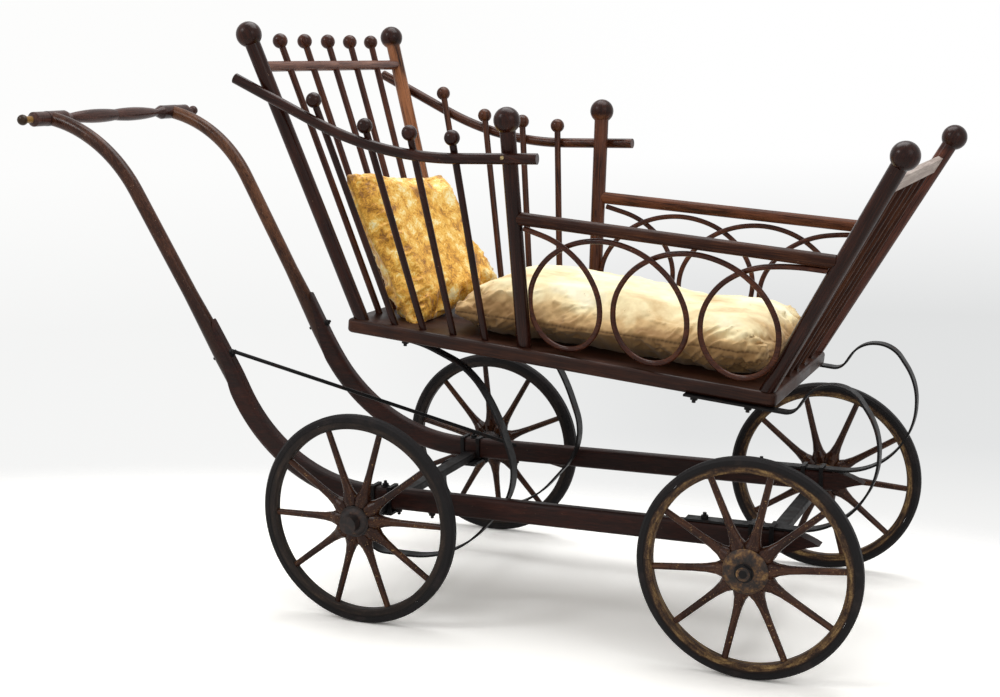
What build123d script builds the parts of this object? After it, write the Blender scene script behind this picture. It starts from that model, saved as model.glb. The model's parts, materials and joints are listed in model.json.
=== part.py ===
from build123d import *
from math import asin, atan2, cos, degrees, hypot, pi, radians, sin, tan
import os

os.makedirs("parts", exist_ok=True)

# Driving dimensions, millimetres. X runs from the push handle to the foot end, Z up from the floor.
rear_wheel_d = 406
front_wheel_d = 392
wheelbase = 751
track = 631
handle_reach = 751  # handle axis behind the rear axle
handle_z = 951
rail_y = 208  # side rails, arms and springs, out from the middle
rail_w = 28
rail_h = 42
rail_z = 218  # middle of the side rail above the floor
board_z = 561  # top of the floor board above the rear axle
board_fall_share = 0.106  # drop of the board for each unit forwards
board_t = 27
board_w = 424
board_back = 70  # board's rear end behind the rear axle
board_front = 775  # board's front end ahead of the rear axle
post_d = 29
ball_d = 48
spindle_d = 13
small_ball_d = 29
seat = 0.3  # gap at curved seats between pieces
overrun = 60  # how far cutting and trimmed shapes run past their faces

# Posts: foot ahead of the rear axle, foot out, ball ahead, ball out, ball height
rear_post = (-46, 192, -213, 285, 1107)
mid_post = (292, 187, 290, 248, 947)
foot_post = (752, 198, 988, 299, 893)

nose_reach = foot_post[2] + ball_d / 2
handle_collar_d = 31
rear_x = (handle_reach + handle_collar_d / 2 - nose_reach) / 2
front_x = rear_x + wheelbase
handle_x = rear_x - handle_reach
rail_top = rail_z + rail_h / 2
rail_bottom = rail_z - rail_h / 2
sides = (("right", -1), ("left", 1))

board_slope = degrees(atan2(board_fall_share, 1))
board_top = Plane(
    origin=(rear_x, 0, board_z),
    x_dir=(cos(radians(board_slope)), 0, -sin(radians(board_slope))),
    z_dir=(sin(radians(board_slope)), 0, cos(radians(board_slope))),
)
board_under = board_top.offset(-board_t)


def top_height(x):
    """Height of the board's top face at a place along the carriage."""
    return board_z - board_fall_share * (x - rear_x)


def under_height(x):
    """Height of the board's underside at a place along the carriage."""
    return top_height(x) - board_t / cos(radians(board_slope))


def post_ends(post, side):
    """Foot and ball centre of a post on one side, from its row of sizes."""
    foot_x, foot_y, ball_x, ball_y, ball_z = post
    foot = Vector(rear_x + foot_x, side * foot_y, top_height(rear_x + foot_x))
    return foot, Vector(rear_x + ball_x, side * ball_y, ball_z)


def at_height(foot, tip, z):
    """Point of a straight member at a height."""
    return foot + (tip - foot) * ((z - foot.Z) / (tip.Z - foot.Z))


def turning_plane(foot, tip):
    """Plane through a member's axis: local X is the radius, local Y runs along the member."""
    along = (tip - foot).normalized()
    across = Vector(0, 1, 0).cross(along).normalized()
    return Plane(origin=foot, x_dir=across, z_dir=across.cross(along))


def bend_radii(points, fill_share):
    """Bend radius at each corner of a route, as large as its two runs allow."""
    radii = []
    for before, corner, after in zip(points, points[1:], points[2:]):
        run_in = corner - before
        run_out = after - corner
        turn = radians(run_in.get_angle(run_out))
        radii.append(fill_share * min(run_in.length, run_out.length) / tan(turn / 2))
    return radii


def turned_member(foot, tip, foot_r, neck_r, ball_r):
    """Half outline of a turned member with a ball at its tip, revolved about its axis."""
    length = (tip - foot).length
    neck_at = length - (ball_r**2 - neck_r**2) ** 0.5
    with BuildSketch(turning_plane(foot, tip)) as outline:
        with BuildLine():
            Polyline((0, length + ball_r), (0, -overrun), (foot_r, -overrun), (neck_r, neck_at))
            ThreePointArc((neck_r, neck_at), (ball_r, length), (0, length + ball_r))
        make_face()
    revolve(outline.sketch, axis=Axis(foot, tip - foot))


# Floor board, tilted down to the foot end
edge_round = 7
corner_round = 14
with BuildPart() as board:
    with BuildSketch(board_top):
        with Locations(((board_front - board_back) / 2, 0)):
            RectangleRounded(board_front + board_back, board_w, corner_round)
    extrude(amount=-board_t)
    fillet(board.faces().filter_by(board_top).edges(), edge_round)
board.part.label = "floor_board"
export_step(board.part, "parts/floor_board.step")

# Corner posts, three pairs
foot_taper = 2
posts = (("rear_posts", rear_post), ("mid_posts", mid_post), ("foot_posts", foot_post))
for name, post in posts:
    with BuildPart() as pair:
        for side_name, side in sides:
            foot, tip = post_ends(post, side)
            turned_member(foot, tip, (post_d - foot_taper) / 2, post_d / 2, ball_d / 2)
        split(bisect_by=board_top, keep=Keep.TOP)
    pair.part.label = name
    export_step(pair.part, f"parts/{name}.step")


def post_gap(post, side):
    """Cuts the post's own outline, a seat larger, out of a member that butts against it."""
    foot, tip = post_ends(post, side)
    with BuildSketch(Plane(origin=foot, z_dir=tip - foot)) as section:
        Circle(post_d / 2 + seat)
    extrude(section.sketch, amount=(tip - foot).length, mode=Mode.SUBTRACT)


def cross_rod(start, end, rod_r):
    """Straight round rod from one point to another."""
    with BuildSketch(Plane(origin=start, z_dir=end - start)) as section:
        Circle(rod_r)
    extrude(section.sketch, amount=(end - start).length)


# Back: a round top rail between the rear posts, on a fan of spindles
back_rail_d = 20
back_rail_z = 1048
back_ball_z = 1096
back_count = 5
back_foot_pitch = 60
back_top_pitch = 91
back_foot, back_tip = post_ends(rear_post, 1)
back_rail_at = at_height(back_foot, back_tip, back_rail_z)
with BuildPart() as back_rail:
    cross_rod(Vector(back_rail_at.X, -back_rail_at.Y, back_rail_z), back_rail_at, back_rail_d / 2)
    for side_name, side in sides:
        post_gap(rear_post, side)
back_spindles = []
for place in range(back_count):
    step = place - (back_count - 1) / 2
    foot = Vector(back_foot.X, step * back_foot_pitch, top_height(back_foot.X))
    ball_at = at_height(back_foot, back_tip, back_ball_z)
    back_spindles.append((foot, Vector(ball_at.X, step * back_top_pitch, back_ball_z)))
with BuildPart() as spindles:
    for foot, tip in back_spindles:
        turned_member(foot, tip, spindle_d / 2, spindle_d / 2, small_ball_d / 2)
    split(bisect_by=board_top, keep=Keep.TOP)
spindles.part.label = "back_spindles"
export_step(spindles.part, "parts/back_spindles.step")
with BuildPart() as back_rail_bored:
    add(back_rail.part)
    for foot, tip in back_spindles:
        with BuildSketch(Plane(origin=foot, z_dir=tip - foot)):
            Circle(spindle_d / 2 + seat)
        extrude(amount=(tip - foot).length, mode=Mode.SUBTRACT)
back_rail_bored.part.label = "back_rail"
export_step(back_rail_bored.part, "parts/back_rail.step")

# Arm rails: bent rods along the outside of the rear and middle posts
arm_d = 20
arm_back_z = 1000  # where the rail crosses the rear post
arm_front_z = 884  # where it crosses the middle post
arm_back_overhang = 70
arm_front_overhang = 62
arm_slope_share = 0.5
arm_bend_r = 635
# Side spindles: foot ahead of the rear axle, crossing as a share of the arm rail, ball beyond it
side_spindles = (
    (26, 0.295, 38),
    (86, 0.463, 28),
    (149, 0.609, 35),
    (215, 0.740, 33),
)
side_foot_y = 192


def arm_crossing(post, side, z):
    """Centre of the arm rail where it passes the outside of a post at a height."""
    foot, tip = post_ends(post, side)
    along = (tip - foot).normalized()
    outward = Vector(0, side, 0) - along * along.dot(Vector(0, side, 0))
    return at_height(foot, tip, z) + outward.normalized() * ((post_d + arm_d) / 2 + seat)


for side_name, side in sides:
    back = arm_crossing(rear_post, side, arm_back_z)
    front = arm_crossing(mid_post, side, arm_front_z)
    along = Vector(front.X - back.X, front.Y - back.Y, 0).normalized()
    slope_run = (back.Z - front.Z) / arm_slope_share
    corner = back + along * slope_run + Vector(0, 0, front.Z - back.Z)
    down = (corner - back).normalized()
    with BuildPart() as arm:
        with BuildLine() as arm_line:
            FilletPolyline(
                back - down * arm_back_overhang,
                corner,
                front + along * arm_front_overhang,
                radius=arm_bend_r,
            )
        arm_path = arm_line.wire()
        with BuildSketch(Plane(origin=arm_path @ 0, z_dir=arm_path % 0)):
            Circle(arm_d / 2)
        sweep(path=arm_path)
    arm.part.label = f"arm_rail_{side_name}"
    export_step(arm.part, f"parts/arm_rail_{side_name}.step")

    with BuildPart() as row:
        for foot_x, cross_share, rise in side_spindles:
            foot = Vector(rear_x + foot_x, side * side_foot_y, top_height(rear_x + foot_x))
            rail_at = arm_path.position_at(cross_share)
            run = (rail_at - foot).normalized()
            outward = arm_path.tangent_at(cross_share).cross(run).normalized()
            outward = outward * (side if outward.Y > 0 else -side)
            crossing = rail_at - outward * ((spindle_d + arm_d) / 2 + seat)
            tip = crossing + (crossing - foot).normalized() * rise
            turned_member(foot, tip, spindle_d / 2, spindle_d / 2, small_ball_d / 2)
        split(bisect_by=board_top, keep=Keep.TOP)
    row.part.label = f"side_spindles_{side_name}"
    export_step(row.part, f"parts/side_spindles_{side_name}.step")

# Leg rails: straight rods between the middle and foot posts
leg_d = 24
leg_back_z = 772
leg_front_z = 716
# Loop fret: one rod bent into a row of loops under the leg rail, its loops resting on the board
fret_d = 10
fret_loops = 3
fret_loop_corners = 12
fret_swing_share = 0.70  # half width of a loop as a share of the loop pitch
fret_weave = 9.5  # sideways swing that carries the rod past itself
fret_tail_share = 0.52  # run from the last loop to the foot post, in loop pitches
fret_bend_share = 0.49
for side_name, side in sides:
    mid_foot, mid_tip = post_ends(mid_post, side)
    end_foot, end_tip = post_ends(foot_post, side)
    start = at_height(mid_foot, mid_tip, leg_back_z)
    end = at_height(end_foot, end_tip, leg_front_z)
    with BuildPart() as leg:
        cross_rod(start, end, leg_d / 2)
        post_gap(mid_post, side)
        post_gap(foot_post, side)
    leg.part.label = f"leg_rail_{side_name}"
    export_step(leg.part, f"parts/leg_rail_{side_name}.step")

    along = (end - start).normalized()
    hang = (leg_d + fret_d) / 2 + seat
    up = (mid_tip - mid_foot).normalized()
    outward = along.cross(up).normalized()
    outward = outward * (side if outward.Y > 0 else -side)
    down = outward.cross(along).normalized()
    down = down * (-1 if down.Z > 0 else 1)
    first = start + along * (post_d / 2 + fret_d / 2) + down * hang
    last = end + down * hang
    pitch = (last - first).length / (fret_loops + fret_tail_share)
    route = []
    corners = fret_loops * fret_loop_corners
    for place in range(corners + 1):
        angle = 2 * pi * place / fret_loop_corners
        centre = first + along * (pitch * angle / (2 * pi))
        foot_share = (centre - first).length / (last - first).length
        floor_at = mid_foot + (end_foot - mid_foot) * foot_share
        drop = (centre.Z - floor_at.Z) / -down.Z - fret_d / 2 - seat
        swing = along * (pitch * fret_swing_share * sin(angle))
        sink = down * (drop * (1 - cos(angle)) / 2)
        weave = outward * (fret_weave * sin(angle))
        route.append(centre + swing + sink + weave)
    route.append(last)
    with BuildPart() as fret:
        with BuildLine() as fret_line:
            FilletPolyline(*route, radius=bend_radii(route, fret_bend_share))
        fret_path = fret_line.wire()
        with BuildSketch(Plane(origin=fret_path @ 0, z_dir=fret_path % 0)):
            Circle(fret_d / 2)
        sweep(path=fret_path)
        post_gap(mid_post, side)
        post_gap(foot_post, side)
    fret.part.label = f"loop_fret_{side_name}"
    export_step(fret.part, f"parts/loop_fret_{side_name}.step")

# Foot end: a flat lath between the foot posts on a row of spindles
lath_w = 30
lath_t = 10
lath_z = 843
foot_spindle_count = 5
foot_spindle_pitch = 62
foot_top_pitch = 84
foot_end_foot, foot_end_tip = post_ends(foot_post, 1)
lath_at = at_height(foot_end_foot, foot_end_tip, lath_z)
lean = Vector(foot_end_tip.X - foot_end_foot.X, 0, foot_end_tip.Z - foot_end_foot.Z).normalized()
lath_plane = Plane(origin=(lath_at.X, 0, lath_z), x_dir=(0, 1, 0), z_dir=lean)
with BuildPart() as lath:
    with BuildSketch(lath_plane.offset(-lath_w / 2)):
        Rectangle(2 * lath_at.Y, lath_t)
    extrude(amount=lath_w)
    for side_name, side in sides:
        post_gap(foot_post, side)
lath.part.label = "foot_rail"
export_step(lath.part, "parts/foot_rail.step")
with BuildPart() as foot_row:
    for place in range(foot_spindle_count):
        step = place - (foot_spindle_count - 1) / 2
        foot = Vector(foot_end_foot.X, step * foot_spindle_pitch, foot_end_foot.Z)
        top = Vector(lath_at.X, step * foot_top_pitch, lath_z)
        past = (top - foot).normalized() * overrun
        cross_rod(foot - past, top + past, spindle_d / 2)
    split(bisect_by=board_top, keep=Keep.TOP)
    split(bisect_by=lath_plane.offset(-lath_w / 2), keep=Keep.BOTTOM)
foot_row.part.label = "foot_spindles"
export_step(foot_row.part, "parts/foot_spindles.step")

# Side rails: bent up at the back to meet the handle arms in a long scarf joint
arm_slope = 61.2  # degrees above the floor
scarf_slope = 76
scarf_behind = 367
scarf_z = 468
scarf_y = 190.5  # rails and arms draw in to here at the scarf
draw_in_below = 40  # where the rail stops drawing in, below the scarf
draw_in_bend_r = 420
rail_bend_r = 355
rail_round = 9
rail_nose = 40  # straight rail past the front axle
nose_length = 62
nose_crown_share = 0.33
nose_hollow_share = 0.2
grip_arm_d = 29
grip_arm_bend_share = 0.91  # of the arm's run out of the handle
grip_arm_dip = 14  # degrees below level where the arm leaves the handle
scarf = Vector(rear_x - scarf_behind, 0, scarf_z)
arm_up = Vector(-cos(radians(arm_slope)), 0, sin(radians(arm_slope)))
elbow = scarf - arm_up * ((scarf_z - rail_z) / arm_up.Z)
scarf_half = Vector(sin(radians(scarf_slope)), 0, cos(radians(scarf_slope)))
grip_dip = Vector(cos(radians(grip_arm_dip)), 0, -sin(radians(grip_arm_dip)))
handle_at = Vector(handle_x, 0, handle_z)
# Shoulder: where the arm's slope meets its run out of the handle
reach = (scarf - handle_at).cross(arm_up).Y / grip_dip.cross(arm_up).Y
shoulder = handle_at + grip_dip * reach
arm_blend = 150
axle_w = 28
axle_t = 16
rear_axle_z = rear_wheel_d / 2
front_axle_z = front_wheel_d / 2
axles = (("rear", rear_x, rear_axle_z), ("front", front_x, front_axle_z))
for side_name, side in sides:
    out = Vector(0, side * rail_y, 0)
    scarf_at = scarf + Vector(0, side * scarf_y, 0)
    arm_run = (shoulder + out - scarf_at).normalized()
    scarf_plane = Plane(origin=scarf_at, z_dir=scarf_half)
    with BuildPart() as rail:
        with BuildLine() as rail_line:
            FilletPolyline(
                Vector(front_x + rail_nose, side * rail_y, rail_z),
                elbow + out,
                scarf_at - arm_run * draw_in_below,
                scarf_at + arm_run * (2 * rail_h),
                radius=[rail_bend_r, draw_in_bend_r],
            )
        rail_path = rail_line.wire()
        with BuildSketch(Plane(origin=rail_path @ 0, x_dir=(0, 1, 0), z_dir=rail_path % 0)):
            RectangleRounded(rail_w, rail_h, rail_round)
        sweep(path=rail_path)
        with BuildSketch(Plane.XZ.offset(-side * rail_y)) as nose:
            with BuildLine():
                nose_x = front_x + rail_nose
                tip_x = nose_x + nose_length
                Polyline((nose_x, rail_bottom), (nose_x, rail_top))
                ThreePointArc(
                    (nose_x, rail_top),
                    (nose_x + nose_length / 2, rail_z + rail_h * nose_crown_share),
                    (tip_x, rail_z),
                )
                ThreePointArc(
                    (tip_x, rail_z),
                    (nose_x + nose_length / 2, rail_z - rail_h * nose_hollow_share),
                    (nose_x, rail_bottom),
                )
            make_face()
        extrude(amount=rail_w / 2, both=True)
        split(bisect_by=scarf_plane, keep=Keep.TOP)
        for axle_name, x, z in axles:
            with BuildSketch(Plane.XZ.offset(-side * rail_y)):
                with Locations((x, z - rail_h / 2)):
                    Rectangle(axle_w, axle_t + rail_h)
            extrude(amount=rail_w, both=True, mode=Mode.SUBTRACT)
    rail.part.label = f"side_rail_{side_name}"
    export_step(rail.part, f"parts/side_rail_{side_name}.step")

    grip_route = (scarf_at + arm_run * arm_blend, shoulder + out, handle_at + out)
    with BuildPart() as grip_arm:
        with BuildLine() as grip_line:
            FilletPolyline(*grip_route, radius=bend_radii(grip_route, grip_arm_bend_share))
        grip_path = grip_line.wire()
        with BuildSketch(Plane(origin=grip_path @ 0, x_dir=(0, 1, 0), z_dir=arm_run)):
            Circle(grip_arm_d / 2)
        sweep(path=grip_path)
        with BuildSketch(Plane(origin=scarf_at, x_dir=(0, 1, 0), z_dir=arm_run)):
            Ellipse(rail_w / 2, rail_h / 2)
        with BuildSketch(Plane(origin=grip_path @ 0, x_dir=(0, 1, 0), z_dir=arm_run)):
            Circle(grip_arm_d / 2)
        loft()
        with BuildSketch(Plane(origin=scarf_at, x_dir=(0, 1, 0), z_dir=-arm_run)):
            Ellipse(rail_w / 2, rail_h / 2)
        extrude(amount=2 * rail_h)
        split(bisect_by=scarf_plane, keep=Keep.BOTTOM)
        with BuildSketch(Plane.XZ.offset(-side * rail_y)):
            with Locations((handle_x, handle_z)):
                Circle(handle_collar_d / 2 + seat)
        extrude(amount=grip_arm_d, both=True, mode=Mode.SUBTRACT)
    grip_arm.part.label = f"handle_arm_{side_name}"
    export_step(grip_arm.part, f"parts/handle_arm_{side_name}.step")

# Handle: one turned bar with two swells, a collar at each arm and a ball at each end
waist_r = 12
swell_r = 14.8
swell_at = 62
grip_neck_r = 8.5
grip_neck_at = 148
collar_from = 168
collar_to = 262
collar_step_at = 224  # collar is slimmer outside the arm
handle_end_d = 30
collar_round = 6
end_neck_r = 7
end_ball_r = 11
end_ball_at = 294
with BuildPart() as handle:
    with BuildSketch(Plane(origin=handle_at, x_dir=(0, 1, 0), z_dir=(1, 0, 0))):
        with BuildLine():
            collar_r = handle_collar_d / 2
            neck_end = end_ball_at - (end_ball_r**2 - end_neck_r**2) ** 0.5
            ThreePointArc((0, waist_r), (swell_at, swell_r), (grip_neck_at, grip_neck_r))
            Polyline(
                (grip_neck_at, grip_neck_r),
                (collar_from, collar_r),
                (collar_step_at, collar_r),
                (collar_step_at, handle_end_d / 2),
                (collar_to, handle_end_d / 2),
                (collar_to + collar_round, end_neck_r),
                (neck_end, end_neck_r),
            )
            ThreePointArc(
                (neck_end, end_neck_r), (end_ball_at, end_ball_r), (end_ball_at + end_ball_r, 0)
            )
            Polyline((end_ball_at + end_ball_r, 0), (0, 0), (0, waist_r))
        make_face()
    revolve(axis=Axis(handle_at, (0, 1, 0)))
    mirror(about=Plane.XZ)
handle.part.label = "handle_bar"
export_step(handle.part, "parts/handle_bar.step")

# Axles: flat beams let into the side rails, with round ends for the wheels
wheel_y = track / 2
spindle_r = 8
hub_in = 34  # hub's reach towards the middle from the wheel's own plane
hub_out = 26
end_play = 1
shoulder_r = 15
shoulder_w = 10
spindle_tip = 18  # round end past the wheel's plane
beam_round = 3
for axle_name, x, z in axles:
    shoulder_y = wheel_y - hub_in - end_play
    with BuildPart() as axle:
        with BuildSketch(Plane(origin=(x, 0, z), x_dir=(1, 0, 0), z_dir=(0, -1, 0))):
            RectangleRounded(axle_w, axle_t, beam_round)
        extrude(amount=shoulder_y - shoulder_w, both=True)
        for side_name, side in sides:
            stations = (
                (shoulder_y - shoulder_w, shoulder_w, shoulder_r),
                (shoulder_y, wheel_y + spindle_tip - shoulder_y, spindle_r),
            )
            for from_y, run, radius in stations:
                with BuildSketch(Plane(origin=(x, side * from_y, z), z_dir=(0, side, 0))):
                    Circle(radius)
                extrude(amount=run)
    axle.part.label = f"{axle_name}_axle"
    export_step(axle.part, f"parts/{axle_name}_axle.step")

# Wheels: tyre, felloe, flared spokes and turned hub, each wheel about its own axle end
tyre_w = 20
tyre_depth = 12.5
tyre_shoulder = 4.5
felloe_w = 19
felloe_depth = 14.5
felloe_chamfer = 3
spoke_count = 10
spoke_tip_r = 5.8
spoke_waist_r = 6.6
spoke_waist_at = 96
spoke_swell_r = 7.8
spoke_swell_at = 72
spoke_flare_r = 10.6
spoke_flare_at = 55
root_r = 16
root_at = 42
# How far each wheel is turned as it stands, degrees
wheel_turns = {
    ("rear", "right"): 17,
    ("rear", "left"): 31,
    ("front", "right"): 13,
    ("front", "left"): 22,
}
hub_r = 30
hub_core_w = 28
hub_end_r = 21
bore_clearance = 0.05
mitre_gap = 0.4
cap_t = 7
nut_r = 12
nut_t = 9
# Caps: axle, cap radius, cap dome, nose radius, nose length
caps = (
    ("rear", 27, 5, 17, 20),
    ("front", 40, 8, 12, 9),
)
for (axle_name, x, z), (cap_name, cap_r, cap_dome, nose_r, nose_run) in zip(axles, caps):
    felloe_r = z - tyre_depth - seat
    for side_name, side in sides:
        middle = Vector(x, side * wheel_y, z)
        about = Axis(middle, (0, 1, 0))
        # Local X runs outboard, local Y is the radius
        half = Plane(origin=middle, x_dir=(0, side, 0), z_dir=(side, 0, 0))
        with BuildPart() as tyre:
            with BuildSketch(half):
                with BuildLine():
                    Polyline(
                        (tyre_w / 2 - tyre_shoulder, z),
                        (tyre_w / 2, z - tyre_shoulder),
                        (tyre_w / 2, z - tyre_depth),
                        (-tyre_w / 2, z - tyre_depth),
                        (-tyre_w / 2, z - tyre_shoulder),
                        (tyre_shoulder - tyre_w / 2, z),
                        close=True,
                    )
                make_face()
            revolve(axis=about)
        tyre.part.label = f"{axle_name}_tyre_{side_name}"
        export_step(tyre.part, f"parts/{axle_name}_tyre_{side_name}.step")

        with BuildPart() as felloe:
            with BuildSketch(half):
                with Locations((0, felloe_r - felloe_depth / 2)):
                    felloe_section = Rectangle(felloe_w, felloe_depth)
                chamfer(felloe_section.vertices().sort_by(Axis.Y)[:2], felloe_chamfer)
            revolve(axis=about)
        felloe.part.label = f"{axle_name}_felloe_{side_name}"
        export_step(felloe.part, f"parts/{axle_name}_felloe_{side_name}.step")

        spoke_end = felloe_r - felloe_depth - seat
        with BuildPart() as spoke:
            with BuildSketch(half):
                with BuildLine():
                    Polyline(
                        (root_r, root_at),
                        (root_r, hub_r + seat),
                        (0, hub_r + seat),
                        (0, spoke_end),
                        (spoke_tip_r, spoke_end),
                        (spoke_waist_r, spoke_waist_at),
                        (spoke_swell_r, spoke_swell_at),
                        (spoke_flare_r, spoke_flare_at),
                        (root_r, root_at),
                    )
                make_face()
            revolve(axis=Axis(middle, (0, 0, 1)))
            with BuildSketch(Plane(origin=middle, x_dir=(1, 0, 0), z_dir=(0, -1, 0))):
                with BuildLine():
                    spread = tan(pi / spoke_count)
                    gap = mitre_gap / 2 / sin(pi / spoke_count)
                    Polyline((0, gap), (z * spread, z + gap), (-z * spread, z + gap), close=True)
                make_face()
            extrude(amount=root_r, both=True, mode=Mode.INTERSECT)
        with BuildPart() as spokes:
            for place in range(spoke_count):
                add(spoke.part.rotate(about, 360 * place / spoke_count + wheel_turns[axle_name, side_name]))
        spokes.part.label = f"{axle_name}_spokes_{side_name}"
        export_step(spokes.part, f"parts/{axle_name}_spokes_{side_name}.step")

        with BuildPart() as hub:
            with BuildSketch(half):
                bore_r = spindle_r + bore_clearance
                core = hub_core_w / 2
                cap_from = root_r + seat
                cap_end = cap_from + cap_t
                nose_end = cap_end + nose_run
                with BuildLine():
                    Polyline(
                        (nose_end, 0),
                        (spindle_tip + end_play, 0),
                        (spindle_tip + end_play, bore_r),
                        (-hub_in, bore_r),
                        (-hub_in, hub_end_r),
                        (-root_r - seat, hub_r),
                        (cap_from, hub_r),
                        (cap_from, cap_r),
                    )
                    ThreePointArc(
                        (cap_from, cap_r),
                        (cap_from + cap_dome, (cap_r + nose_r) / 2),
                        (cap_end, nose_r),
                    )
                    Polyline((cap_end, nose_r), (nose_end, nose_r), (nose_end, 0))
                make_face()
            revolve(axis=about)
        hub.part.label = f"{axle_name}_hub_{side_name}"
        export_step(hub.part, f"parts/{axle_name}_hub_{side_name}.step")

# Springs: flat steel strips bent in lines and arcs
strip_w = 25
strip_t = 4
spring_rail_gap = 4
rear_spring_y = rail_y - (rail_w + strip_w) / 2 - spring_rail_gap
spring_foot_back = 5
spring_bend_share = 0.48
# Rear scroll corners: ahead of the axle in reaches, above its lowest run in rises
rear_scroll_shares = (
    (0.683, 1.349),
    (0.892, 1.058),
    (1.073, 0.569),
    (0.527, 0.0),
    (-0.23, 0.0),
)
rear_turn_share = 0.288  # where the strip leaves the board
rear_reach = 260
rear_rise = 284
scroll_bottom_z = 96
# Front loop corners: ahead of the front axle in reaches, above the rail in rises
front_loop_shares = (
    (0.432, 0.97),
    (0.749, 0.97),
    (0.996, 0.70),
    (0.99, 0.389),
    (0.783, 0.135),
    (0.465, 0.0),
)
front_turn_share = 0.257
front_reach = 198
front_rise = 268
front_spring_tail = 144
front_spring_run = 140
half_strip = strip_t / 2 / cos(radians(board_slope))


def strip_spring(route, y, end_place):
    """Flat strip bent along a side view route, its bend at one end tightened to stay clear."""
    points = [Vector(x, y, z) for x, z in route]
    radii = bend_radii(points, spring_bend_share)
    radii[end_place] = radii[end_place] / 2
    with BuildLine() as strip_line:
        FilletPolyline(*points, radius=radii)
    strip_path = strip_line.wire()
    with BuildSketch(Plane(origin=strip_path @ 0, x_dir=(0, 1, 0), z_dir=strip_path % 0)) as section:
        Rectangle(strip_w, strip_t)
    sweep(section.sketch, path=strip_path)


for side_name, side in sides:
    strip_z = rear_axle_z - (axle_t + strip_t) / 2
    start_x = rear_x + spring_foot_back
    turn_x = rear_x + rear_reach * rear_turn_share
    route = [
        (start_x, under_height(start_x) - half_strip),
        (turn_x, under_height(turn_x) - half_strip),
    ]
    for x_share, z_share in rear_scroll_shares:
        route.append((rear_x + rear_reach * x_share, scroll_bottom_z + rear_rise * z_share))
    curl_x, curl_z = route[-1]
    route.append((curl_x, strip_z))
    route.append((rear_x + axle_w, strip_z))
    with BuildPart() as spring:
        strip_spring(route, side * rear_spring_y, -1)
    spring.part.label = f"rear_spring_{side_name}"
    export_step(spring.part, f"parts/rear_spring_{side_name}.step")

    tail_x = front_x - front_spring_tail
    turn_x = front_x + front_reach * front_turn_share
    route = [
        (tail_x, under_height(tail_x) - half_strip),
        (turn_x, under_height(turn_x) - half_strip),
    ]
    for x_share, z_share in front_loop_shares:
        route.append((front_x + front_reach * x_share, rail_top + strip_t / 2 + front_rise * z_share))
    route.append((front_x - front_spring_run, rail_top + strip_t / 2))
    with BuildPart() as spring:
        strip_spring(route, side * rail_y, 0)
    spring.part.label = f"front_spring_{side_name}"
    export_step(spring.part, f"parts/front_spring_{side_name}.step")

# Axle clips: a plate under the axle and two straps over the side rail
clip_strap_w = 8
clip_strap_t = 3
clip_plate_t = 5
with BuildPart() as clips:
    for axle_name, x, z in axles:
        lift = strip_t if axle_name == "front" else 0
        drop = 0 if axle_name == "front" else strip_t
        for side_name, side in sides:
            strap_in = rail_w / 2 + seat
            strap_out = strap_in + clip_strap_t
            low = z - axle_t / 2 - drop
            high = rail_top + lift + seat
            for end in (-1, 1):
                strap_x = x + end * ((axle_w + clip_strap_w) / 2 + seat)
                strap_plane = Plane(origin=(strap_x, side * rail_y, 0), x_dir=(0, 1, 0), z_dir=(1, 0, 0))
                with BuildSketch(strap_plane):
                    with Locations((0, (low + high + clip_strap_t) / 2)):
                        Rectangle(2 * strap_out, high + clip_strap_t - low)
                    with Locations((0, (low + high) / 2)):
                        Rectangle(2 * strap_in, high - low, mode=Mode.SUBTRACT)
                extrude(amount=clip_strap_w / 2, both=True)
            plate_in = rail_y - rear_spring_y + strip_w / 2 if axle_name == "rear" else strap_out
            plate_x = axle_w + 2 * clip_strap_w + 2 * seat
            with BuildSketch(Plane.XY.offset(low - clip_plate_t)):
                with Locations((x, side * (rail_y + (strap_out - plate_in) / 2))):
                    Rectangle(plate_x, strap_out + plate_in)
            extrude(amount=clip_plate_t)
clips.part.label = "axle_clips"
export_step(clips.part, "parts/axle_clips.step")

# Bolts that hold the spring strips to the board and the side rails
nut_af = 12
nut_h = 6
bolt_r = 3.5
bolt_stub = 5
rear_bolt_ahead = 40  # ahead of the rear axle
tail_bolt_back = 127  # behind the front axle
neck_bolt_back = 30
rail_bolt_back = 106
with BuildPart() as bolts:
    for side_name, side in sides:
        board_bolts = (
            (rear_x + rear_bolt_ahead, side * rear_spring_y),
            (front_x - tail_bolt_back, side * rail_y),
            (front_x - neck_bolt_back, side * rail_y),
        )
        for x, y in board_bolts:
            face_z = under_height(x) - 2 * half_strip
            slanted = Plane(origin=(x, y, face_z), x_dir=(0, 1, 0), z_dir=-board_top.z_dir)
            with BuildSketch(slanted):
                RegularPolygon(nut_af / 2, 6, major_radius=False)
            extrude(amount=nut_h)
            with BuildSketch(slanted.offset(nut_h)):
                Circle(bolt_r)
            extrude(amount=bolt_stub)
        strip_top = Plane(origin=(front_x - rail_bolt_back, side * rail_y, rail_top + strip_t))
        with BuildSketch(strip_top):
            RegularPolygon(nut_af / 2, 6, major_radius=False)
        extrude(amount=nut_h)
        with BuildSketch(strip_top.offset(nut_h)):
            Circle(bolt_r)
        extrude(amount=bolt_stub)
bolts.part.label = "spring_bolts"
export_step(bolts.part, "parts/spring_bolts.step")

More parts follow.
